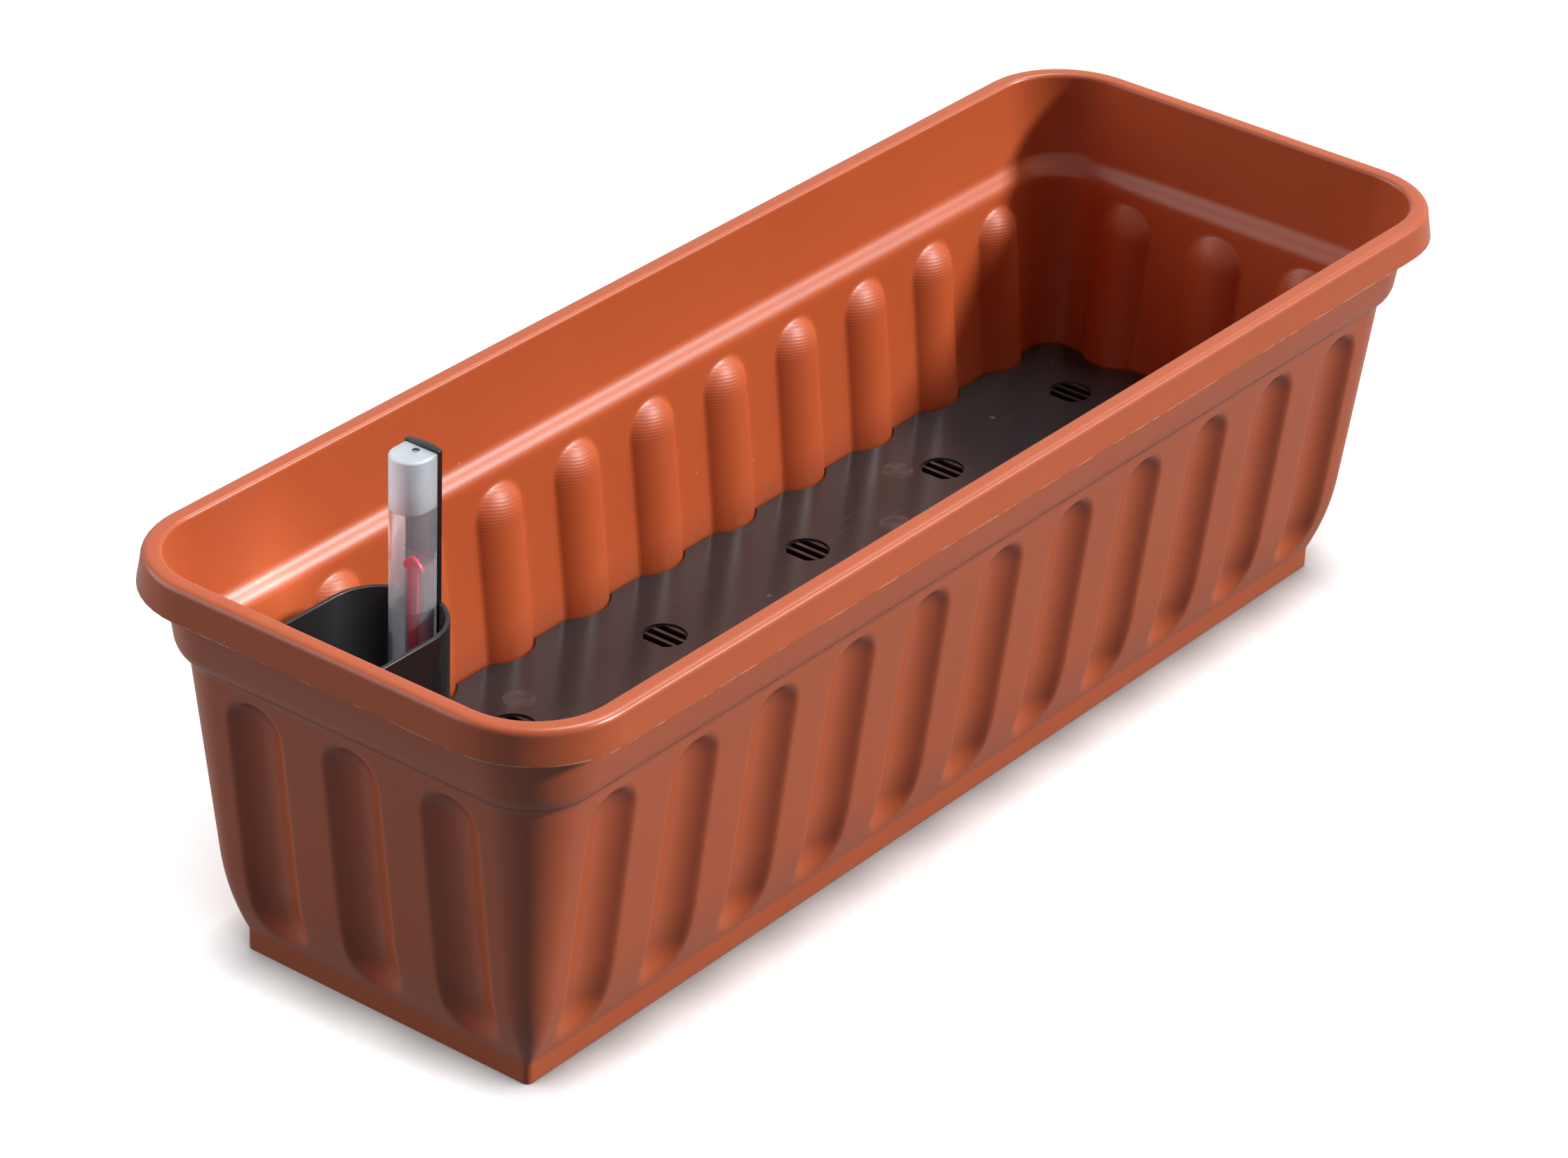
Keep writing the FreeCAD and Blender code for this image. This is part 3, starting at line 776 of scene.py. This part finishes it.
    def lip_rows(self) -> list[Row]:
        """The flange and the hanging lip, down its inner side and up its outer side."""
        wide, high = self.flange_round
        lip_inner = self.lip_top_r - self.lip_wall
        rows = fillet((self.neck_top_r - 0.2, self.flange_z - high), (self.neck_top_r, self.flange_z),
                      (self.neck_top_r + wide, self.flange_z), 4)
        rows += fillet((lip_inner - wide, self.flange_z), (lip_inner, self.flange_z),
                       (lip_inner + 0.1, self.flange_z - wide), 4)
        inner = self.lip_r - self.lip_wall
        rows.append(Row(inner, self.lip_z + self.lip_chamfer))
        rows.append(Row(inner + self.lip_chamfer, self.lip_z, lip=0.5))
        for (back, up), flash in zip(self.lip_bead, (1.0, 1.0, 0.0, 0.0)):
            rows.append(Row(self.lip_r - back, self.lip_z + up, lip=flash))
        return rows

    def mouth_rows(self) -> list[Row]:
        """The rounded rim, from its outer edge to the mouth."""
        outer, top = self.lip_top_r, self.rim_z
        rows = fillet((outer, top - self.rim_round), (outer, top), (outer - self.rim_round, top), 9)
        rows += fillet((self.mouth_r + self.mouth_round, top), (self.mouth_r, top),
                       (self.mouth_r, top - self.mouth_round), 7)
        return rows

    def ledge_rows(self, low_z: float) -> list[Row]:
        """The ledge inside the neck, a knee and a step on either side of its middle.

        Args:
            low_z: height where the fluted wall begins under the ledge.

        Returns:
            The rows from high to low.
        """
        inner_r = self.neck_r - self.wall
        ledge = self.groove_z + self.ledge_rise
        shelf = (inner_r, ledge + self.ledge_shelf)
        middle = (inner_r + self.ledge_middle[0], ledge + self.ledge_middle[1])
        end = (self.belly_r + (low_z - self.belly_z) * math.tan(self.slope()) - self.wall, low_z)
        lean_in, lean_down = math.sin(self.ledge_lean), math.cos(self.ledge_lean)
        knee = (middle[0] + self.ledge_knee * lean_in, middle[1] + self.ledge_knee * lean_down)
        step = (middle[0] - self.ledge_step * lean_in, middle[1] - self.ledge_step * lean_down)
        rows = [Row((self.mouth_r + shelf[0]) / 2, (self.rim_z - self.mouth_round + shelf[1]) / 2)]
        rows += fillet(shelf, knee, middle, 8)
        rows += fillet(middle, step, end, 8)[1:-1]
        return rows

    def stations(self, half: float, count: int) -> list[tuple[float, float]]:
        """Places along one straight side, with the distance to the nearest flute's middle.

        Args:
            half: half length of the side.
            count: number of flutes.

        Returns:
            Place and distance pairs from -half to half.
        """
        middles = [(index - (count - 1) / 2) * self.pitch for index in range(count)]
        places = {-half, half}
        for middle in middles:
            for step in (0.0, *self.across_steps, self.pitch / 2):
                places |= {round(middle - step, 4), round(middle + step, 4)}
        inside = sorted(place for place in places if -half <= place <= half)
        return [(place, min(abs(place - middle) for middle in middles)) for place in inside]

    def columns(self, core_x: float, core_y: float) -> list[Column]:
        """Uprights round the whole trough, anticlockwise from the +X end.

        Args:
            core_x: half length of the core rectangle.
            core_y: half width of the core rectangle.

        Returns:
            The columns in order.
        """
        columns = []
        sides = ((core_y, self.end_flutes, core_x), (core_x, self.side_flutes, core_y))
        far = self.pitch
        for quarter, (half, count, reach) in enumerate(sides * 2):
            angle = quarter * math.pi / 2
            turn = Matrix.Rotation(angle, 2)
            for place, across in self.stations(half, count):
                spot = turn @ Vector((reach, place))
                columns.append(Column(spot.x, spot.y, angle, across))
            spot = turn @ Vector((reach, half))
            for step in range(1, self.corner_steps):
                columns.append(Column(spot.x, spot.y, angle + step * math.pi / 2 / self.corner_steps, far))
        return columns

    def depth(self, row: Row, across: np.ndarray) -> np.ndarray:
        """How far the flute moves the wall inwards along one row.

        Args:
            row: the row.
            across: distance of each column from its flute's middle.

        Returns:
            Depths in millimetres.
        """
        if row.wall is Wall.PLAIN:
            return np.zeros_like(across)
        extra = 0.0 if row.wall is Wall.OUTSIDE else self.wall
        radius = self.cutter_r + extra
        offset = self.cutter_r - self.cutter_depth + extra
        _, centre_z, belly_radius, _ = self.belly()
        stop = math.asin((centre_z - self.flute_foot) / belly_radius)
        foot = -belly_radius * (stop - self.slope())
        beyond = max(row.along - self.flute_head(), foot - row.along, 0.0)
        away = np.hypot(across, beyond)
        cut = np.sqrt(np.maximum(radius ** 2 - away ** 2, 0.0)) - offset
        soft = self.outer_softness if row.wall is Wall.OUTSIDE else self.inner_softness
        share = np.clip(0.5 + 0.5 * cut / soft, 0.0, 1.0)
        return cut * share + soft * share * (1.0 - share)

    def sweep(self, rows: list[Row], columns: list[Column]) -> bpy.types.Object:
        """Lays a grid over the rows and columns and closes its seam.

        Args:
            rows: the section.
            columns: the uprights.

        Returns:
            The open wall as a piece.
        """
        clear_selection()
        around = len(columns)
        bpy.ops.mesh.primitive_grid_add(x_subdivisions=around, y_subdivisions=len(rows) - 1, size=1.0)
        piece = bpy.context.object
        piece.name = "fluted_trough"
        mesh = piece.data
        flat = np.empty(len(mesh.vertices) * 3)
        mesh.vertices.foreach_get("co", flat)
        flat = flat.reshape(-1, 3)
        column_of = np.rint((flat[:, 0] + 0.5) * around).astype(int) % around
        row_of = np.rint((flat[:, 1] + 0.5) * (len(rows) - 1)).astype(int)
        across = np.array([column.across for column in columns])
        angle = np.array([column.angle for column in columns])
        place = np.array([(column.x, column.y) for column in columns])
        out = np.stack([np.cos(angle), np.sin(angle)], 1)
        grid = np.empty((len(rows), around, 3))
        cap = np.zeros((len(rows), around))
        fade_from = self.flute_head() - self.cap_fade
        for index, row in enumerate(rows):
            cut = self.depth(row, across)
            rho = row.rho - cut * math.cos(row.lean)
            grid[index, :, :2] = place + rho[:, None] * out
            grid[index, :, 2] = row.z + cut * math.sin(row.lean)
            if row.wall is Wall.INSIDE:
                near_top = np.clip((row.along - fade_from) / self.cap_fade, 0.0, 1.0)
                cap[index] = near_top * np.clip(cut, 0.0, 1.0)
        mesh.vertices.foreach_set("co", (grid[row_of, column_of] * MM).ravel())
        mesh.attributes.new("rib_cap", "FLOAT", "POINT").data.foreach_set("value", cap[row_of, column_of])
        lip = np.array([row.lip for row in rows])
        mesh.attributes.new("lip_edge", "FLOAT", "POINT").data.foreach_set("value", lip[row_of])
        mesh.update()
        select_in_edit(piece, "VERT", everything)
        bpy.ops.mesh.remove_doubles(threshold=SEAM_MERGE)
        bpy.ops.object.mode_set(mode="OBJECT")
        return piece

    def close_floors(self, piece: bpy.types.Object) -> None:
        """Fills the floor and its underside round the drain holes and joins the holes' rims."""
        for level in (self.floor_z * MM, self.floor_under * MM):
            make_active(piece)
            bpy.ops.object.mode_set(mode="EDIT")
            for x, y in self.drains:
                bpy.ops.mesh.primitive_circle_add(vertices=self.drain_steps, radius=self.drain_r * MM,
                                                  location=(x * MM, y * MM, level))
            bpy.ops.object.mode_set(mode="OBJECT")
            select_in_edit(piece, "EDGE", lambda middles: np.abs(middles[:, 2] - level) < LEVEL_REACH)
            bpy.ops.mesh.fill(use_beauty=True)
            bpy.ops.object.mode_set(mode="OBJECT")
        for x, y in self.drains:
            def on_hole(middles: np.ndarray, x: float = x, y: float = y) -> np.ndarray:
                """Edges on the rims of one drain hole."""
                away = np.hypot(middles[:, 0] - x * MM, middles[:, 1] - y * MM)
                return np.abs(away - self.drain_r * MM) < HOLE_REACH
            select_in_edit(piece, "EDGE", on_hole)
            bpy.ops.mesh.bridge_edge_loops()
            bpy.ops.object.mode_set(mode="OBJECT")
        select_in_edit(piece, "VERT", everything)
        bpy.ops.mesh.normals_make_consistent(inside=False)
        bpy.ops.object.mode_set(mode="OBJECT")


# ---------------------------------------------------------------- insert, gauge and small pieces


@dataclass
class Insert:
    """False floor and soil cups, and the filler shaft with its softened rim."""

    rim_softness: float = 0.45

    def build(self, effects: Effects) -> None:
        """Dresses the CAD pieces and builds the shaft.

        Args:
            effects: the shared node groups.
        """
        plate = PLATE_BLACK.material(effects)
        for node in ("reservoir_plate", "soil_cup_1", "soil_cup_2", "soil_cup_3"):
            dress(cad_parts[node], plate)
            log.info("%s keeps its CAD shape", node)
        shaft = merged_copy("filler_shaft", "chute")
        soften(shaft, self.rim_softness)
        dress(shaft, SHAFT_BLACK.material(effects))
        place_in_frame(shaft, Body.INSERT, "filler_shaft")


@dataclass
class Gauge:
    """Clear tube with frosted bands on its black rail, and the foot that closes it."""

    mist_from: float = 130.8
    mist_to: float = 151.0
    frost_from: float = 173.4
    tube_softness: float = 0.5
    # Depth of the painted highlight faces at the back edge, and width of the painted glow band on the far
    # side.
    glint_from_back: float = 0.9
    painted_glow_band: float = 2.2
    vent: Point = (-189.2, 47.9)
    vent_r: float = 1.6
    vent_depth: float = 1.5
    upright: float = 0.3
    facing_back: float = 0.95
    edge_degrees: float = 50.0
    rail_softness: float = 0.25
    air_gap: float = 0.05
    on_back: float = 0.02

    def build(self, effects: Effects) -> list[bpy.types.Object]:
        """Builds and dresses the gauge.

        Args:
            effects: the shared node groups.

        Returns:
            The tube and the rail.
        """
        tube = self.tube(effects)
        black = SHAFT_BLACK.material(effects)
        rail = merged_copy("gauge_rail", "rail")
        soften(rail, self.rail_softness)
        dress(rail, black)
        place_in_frame(rail, Body.GAUGE, "gauge_rail")
        dress(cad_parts["gauge_foot"], black)
        return [tube, rail]

    def tube(self, effects: Effects) -> bpy.types.Object:
        """Builds the tube, cut into clear and frosted bands, with faces of painted glow and highlight and a
        vent of painted shade.

        Args:
            effects: the shared node groups.

        Returns:
            The tube.
        """
        piece = merged_copy("gauge_tube", "sight_tube")
        soften(piece, self.tube_softness, 3, self.edge_degrees)
        far = Vector(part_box("gauge_tube")[1]) / MM
        for vertex in piece.data.vertices:
            if vertex.co.x / MM > far.x - self.on_back:
                vertex.co.x -= self.air_gap * MM
        for level in (self.mist_from, self.mist_to, self.frost_from):
            select_in_edit(piece, "VERT", everything)
            bpy.ops.mesh.bisect(plane_co=(0.0, 0.0, level * MM), plane_no=(0.0, 0.0, 1.0))
            bpy.ops.object.mode_set(mode="OBJECT")
        # The third finish paints glow and a highlight onto the tube's far side and back edge.
        dress(piece, CLEAR_WINDOW.material(effects), FROSTED_BAND.material(effects),
              PAINTED_GLOW_SIDE.material(effects), SHAFT_BLACK.material(effects), MISTED_BAND.material(effects))
        # The fourth finish, the shaft's black, paints shade on the vent hole's wall.
        for face in piece.data.polygons:
            face.material_index = self.finish_of(face.center / MM, face.normal, far)
        smooth(piece, SMOOTH_DEGREES)
        place_in_frame(piece, Body.GAUGE, "gauge_tube")
        return piece

    def finish_of(self, middle: Vector, normal: Vector, far: Vector) -> TubeFace:
        """Picks the finish of one face of the tube, or its painted glow, highlight or vent shade.

        Args:
            middle: middle of the face in millimetres.
            normal: its outward direction.
            far: the tube's back, left and top limits in millimetres.

        Returns:
            The finish's place in the tube's list.
        """
        # Painted shade: faces in the vent hole's wall get black.
        in_vent = far.z - self.vent_depth < middle.z and abs(normal.z) < self.upright
        if in_vent and math.hypot(middle.x - self.vent[0], middle.y - self.vent[1]) < self.vent_r:
            return TubeFace.BLACK
        if middle.z > self.frost_from:
            return TubeFace.FROSTED
        if self.mist_from < middle.z < self.mist_to:
            return TubeFace.MISTED
        # Painted highlight on the back edge, and painted glow on the far side above the misted band.
        glint_edge = middle.x > far.x - self.glint_from_back and abs(normal.x) < self.facing_back
        glow_face = middle.y > far.y - self.painted_glow_band and middle.z > self.mist_to
        return TubeFace.PAINTED_GLOW if glint_edge or glow_face else TubeFace.CLEAR


@dataclass
class Pointer:
    """Red arrow with a domed head, on a flat stem that stands in the foam float."""

    head_half: float = 4.6
    head_height: float = 6.0
    stem_half: float = 2.5
    softness: float = 0.35
    edge_degrees: float = 50.0
    dome: Profile = field(default_factory=lambda: [
        (0.72, 0.0), (0.93, 0.04), (1.0, 0.14), (1.0, 0.28), (0.95, 0.43), (0.83, 0.57), (0.67, 0.69),
        (0.48, 0.80), (0.27, 0.91), (0.02, 1.0)])

    def outline(self, top: float, bottom: float) -> Profile:
        """Half outline of the arrow from its foot to its tip, as half width and height."""
        neck = top - self.head_height
        points = [(self.stem_half, bottom), (self.stem_half, neck)]
        return points + [(self.head_half * wide, neck + self.head_height * up) for wide, up in self.dome]

    def build(self, effects: Effects) -> bpy.types.Object:
        """Builds the arrow and dresses the float.

        Args:
            effects: the shared node groups.

        Returns:
            The arrow.
        """
        low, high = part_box("float_pointer")
        middle = (low[1] + high[1]) / 2
        half = self.outline(high[2] / MM, low[2] / MM)
        ring = [(width, z) for width, z in half] + [(-width, z) for width, z in reversed(half)]
        clear_selection()
        bpy.ops.mesh.primitive_circle_add(vertices=len(ring), radius=0.01, fill_type="NGON")
        piece = bpy.context.object
        piece.name = "level_pointer"
        for vertex, (width, z) in zip(piece.data.vertices, ring):
            vertex.co = (low[0], middle + width * MM, z * MM)
        select_in_edit(piece, "FACE", everything)
        bpy.ops.mesh.extrude_region_move(TRANSFORM_OT_translate={"value": (high[0] - low[0], 0.0, 0.0)})
        bpy.ops.mesh.select_all(action="SELECT")
        bpy.ops.mesh.normals_make_consistent(inside=False)
        bpy.ops.object.mode_set(mode="OBJECT")
        soften(piece, self.softness, 2, self.edge_degrees)
        dress(piece, POINTER_RED.material(effects))
        place_in_frame(piece, Body.FLOAT, "float_pointer")
        dress(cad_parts["float_body"], FOAM.material(effects))
        return piece


@dataclass
class DrainPlugs:
    """Rubber plugs in the floor."""

    nodes: tuple[str, ...] = ("drain_plug_1", "drain_plug_2")

    def build(self, effects: Effects) -> None:
        """Dresses the plugs.

        Args:
            effects: the shared node groups.
        """
        rubber = RUBBER.material(effects)
        for node in self.nodes:
            dress(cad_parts[node], rubber)
            log.info("%s keeps its CAD shape", node)


# ---------------------------------------------------------------- studio


@dataclass
class Studio:
    """Pale floor with a painted contact shadow, soft light and the camera."""

    floor_size: float = 14.0
    key_from: Triple = (0.46, -0.66, 0.46)
    key_strength: float = 3.0
    key_angle: float = 8.0
    top_from: Triple = (0.45, -0.05, 0.90)
    top_strength: float = 1.8
    top_angle: float = 30.0
    fill_from: Triple = (-0.15, 0.25, 0.12)
    fill_strength: float = 1.2
    fill_angle: float = 50.0
    wash_from: Triple = (-0.5, -0.6, 1.0)
    wash_strength: float = 6.5
    wash_angle: float = 130.0
    floor_mirrored: float = 0.30
    floor_bounce: float = 0.03
    # Reach, falloff and darkest grey of the contact shadow that is painted into the floor's shown colour.
    painted_shadow_reach: float = 0.022
    painted_shadow_power: float = 1.3
    floor_pale: float = 0.95
    painted_shadow_grey: float = 0.02
    light_distance: float = 2.0
    sensor_width: float = 36.0
    clip_end: float = 100.0
    world_strength: float = 0.06
    world_mirrored: float = 0.70
    camera_place: Triple = (-1.56259, -1.16003, 1.19178)
    camera_right: Triple = (0.617168, -0.786045, 0.035165)
    camera_ahead: Triple = (0.693128, 0.521975, -0.497107)
    lens: float = 128.356

    def build(self, sheer: Sequence[bpy.types.Object]) -> None:
        """Builds the floor, the lights and the camera.

        Args:
            sheer: slender see-through pieces that cast no key shadow, as under a long soft box.
        """
        floor = self.floor()
        self.world()
        key = self.sun("key", self.key_from, self.key_strength, self.key_angle)
        self.link(key, "blocker_collection", sheer, "EXCLUDE")
        top = self.sun("top", self.top_from, self.top_strength, self.top_angle)
        fill = self.sun("fill", self.fill_from, self.fill_strength, self.fill_angle)
        for light in (key, top, fill):
            self.link(light, "receiver_collection", [floor], "EXCLUDE")
        wash = self.sun("floor_wash", self.wash_from, self.wash_strength, self.wash_angle)
        self.link(wash, "receiver_collection", [floor], "INCLUDE")
        self.camera()
        bpy.context.scene.view_settings.view_transform = "Standard"

    def grey(self, value: float) -> tuple[float, float, float, float]:
        """A plain grey with full cover."""
        return value, value, value, 1.0

    def floor(self) -> bpy.types.Object:
        """Lays a pale floor, which throws less light back on the trough than it shows, and whose shown
        colour carries a contact shadow painted in by ambient occlusion near the trough.
        """
        clear_selection()
        bpy.ops.mesh.primitive_plane_add(size=self.floor_size)
        floor = bpy.context.object
        floor.name = "studio_floor"
        material = bpy.data.materials.new("pale_floor")
        material.use_nodes = True
        w = Wiring(material.node_tree)
        shader = material.node_tree.nodes["Principled BSDF"]
        rays = w.add("ShaderNodeLightPath").outputs
        colour = w.blend(rays["Is Glossy Ray"], self.grey(self.floor_bounce), self.grey(self.floor_mirrored))
        # Painted contact shadow: the camera sees the floor's colour darkened by ambient occlusion near the
        # trough.
        near = w.add("ShaderNodeAmbientOcclusion", {"Distance": self.painted_shadow_reach}, samples=16)
        unshadowed_share = w.math("POWER", near.outputs["AO"], self.painted_shadow_power)
        shown = w.blend(unshadowed_share, self.grey(self.painted_shadow_grey), self.grey(self.floor_pale))
        colour = w.blend(rays["Is Camera Ray"], colour, shown)
        w.tree.links.new(colour, shader.inputs["Base Color"])
        shader.inputs["Roughness"].default_value = 0.9
        shader.inputs["Specular IOR Level"].default_value = 0.0
        dress(floor, material)
        return floor

    def world(self) -> None:
        """Sets a soft white surround."""
        world = bpy.data.worlds.new("studio")
        bpy.context.scene.world = world
        world.use_nodes = True
        world.cycles.sampling_method = "NONE"
        w = Wiring(world.node_tree)
        background = world.node_tree.nodes["Background"]
        rays = w.add("ShaderNodeLightPath").outputs
        shown = w.math("MULTIPLY", rays["Is Camera Ray"], 1.0 - self.world_strength)
        mirrored = w.math("MULTIPLY", rays["Is Glossy Ray"], self.world_mirrored - self.world_strength)
        strength = w.math("ADD", w.math("ADD", shown, mirrored), self.world_strength)
        w.tree.links.new(strength, background.inputs["Strength"])
        background.inputs["Color"].default_value = (1.0, 1.0, 1.0, 1.0)

    def sun(self, name: str, source: Triple, strength: float, angle: float) -> bpy.types.Object:
        """Adds a far light.

        Args:
            name: name of the light.
            source: direction from the object to the light.
            strength: strength of the light.
            angle: its width in degrees.

        Returns:
            The light's object.
        """
        data = bpy.data.lights.new(name, "SUN")
        data.energy = strength
        data.angle = math.radians(angle)
        light = bpy.data.objects.new(name, data)
        light.rotation_mode = "QUATERNION"
        light.rotation_quaternion = Vector(source).to_track_quat("Z", "Y")
        light.location = Vector(source).normalized() * self.light_distance
        bpy.context.scene.collection.objects.link(light)
        return light

    def link(self, light: bpy.types.Object, kind: str, pieces: Sequence[bpy.types.Object],
             state: str) -> None:
        """Includes or excludes objects for a light.

        Args:
            light: the light.
            kind: "receiver_collection" or "blocker_collection".
            pieces: the objects.
            state: "INCLUDE" or "EXCLUDE".
        """
        group = bpy.data.collections.new(f"{light.name}_{kind}")
        for piece in pieces:
            group.objects.link(piece)
        setattr(light.light_linking, kind, group)
        for entry in group.collection_objects:
            entry.light_linking.link_state = state

    def camera(self) -> None:
        """Places the camera."""
        data = bpy.data.cameras.new("view")
        data.lens = self.lens
        data.sensor_width = self.sensor_width
        data.clip_end = self.clip_end
        camera = bpy.data.objects.new("view", data)
        right = Vector(self.camera_right).normalized()
        back = -Vector(self.camera_ahead).normalized()
        up = back.cross(right)
        turn = Matrix((right, up, back)).transposed().to_4x4()
        camera.matrix_world = Matrix.Translation(self.camera_place) @ turn
        bpy.context.scene.collection.objects.link(camera)
        bpy.context.scene.camera = camera


def main() -> None:
    """Builds the planter's pieces in order, then the studio."""
    logging.basicConfig(level=logging.INFO, format="%(name)s: %(message)s")
    effects = Effects()
    Trough().build(effects)
    Insert().build(effects)
    sheer = Gauge().build(effects)
    sheer.append(Pointer().build(effects))
    DrainPlugs().build(effects)
    Studio().build(sheer)


if __name__ == "__main__":
    main()
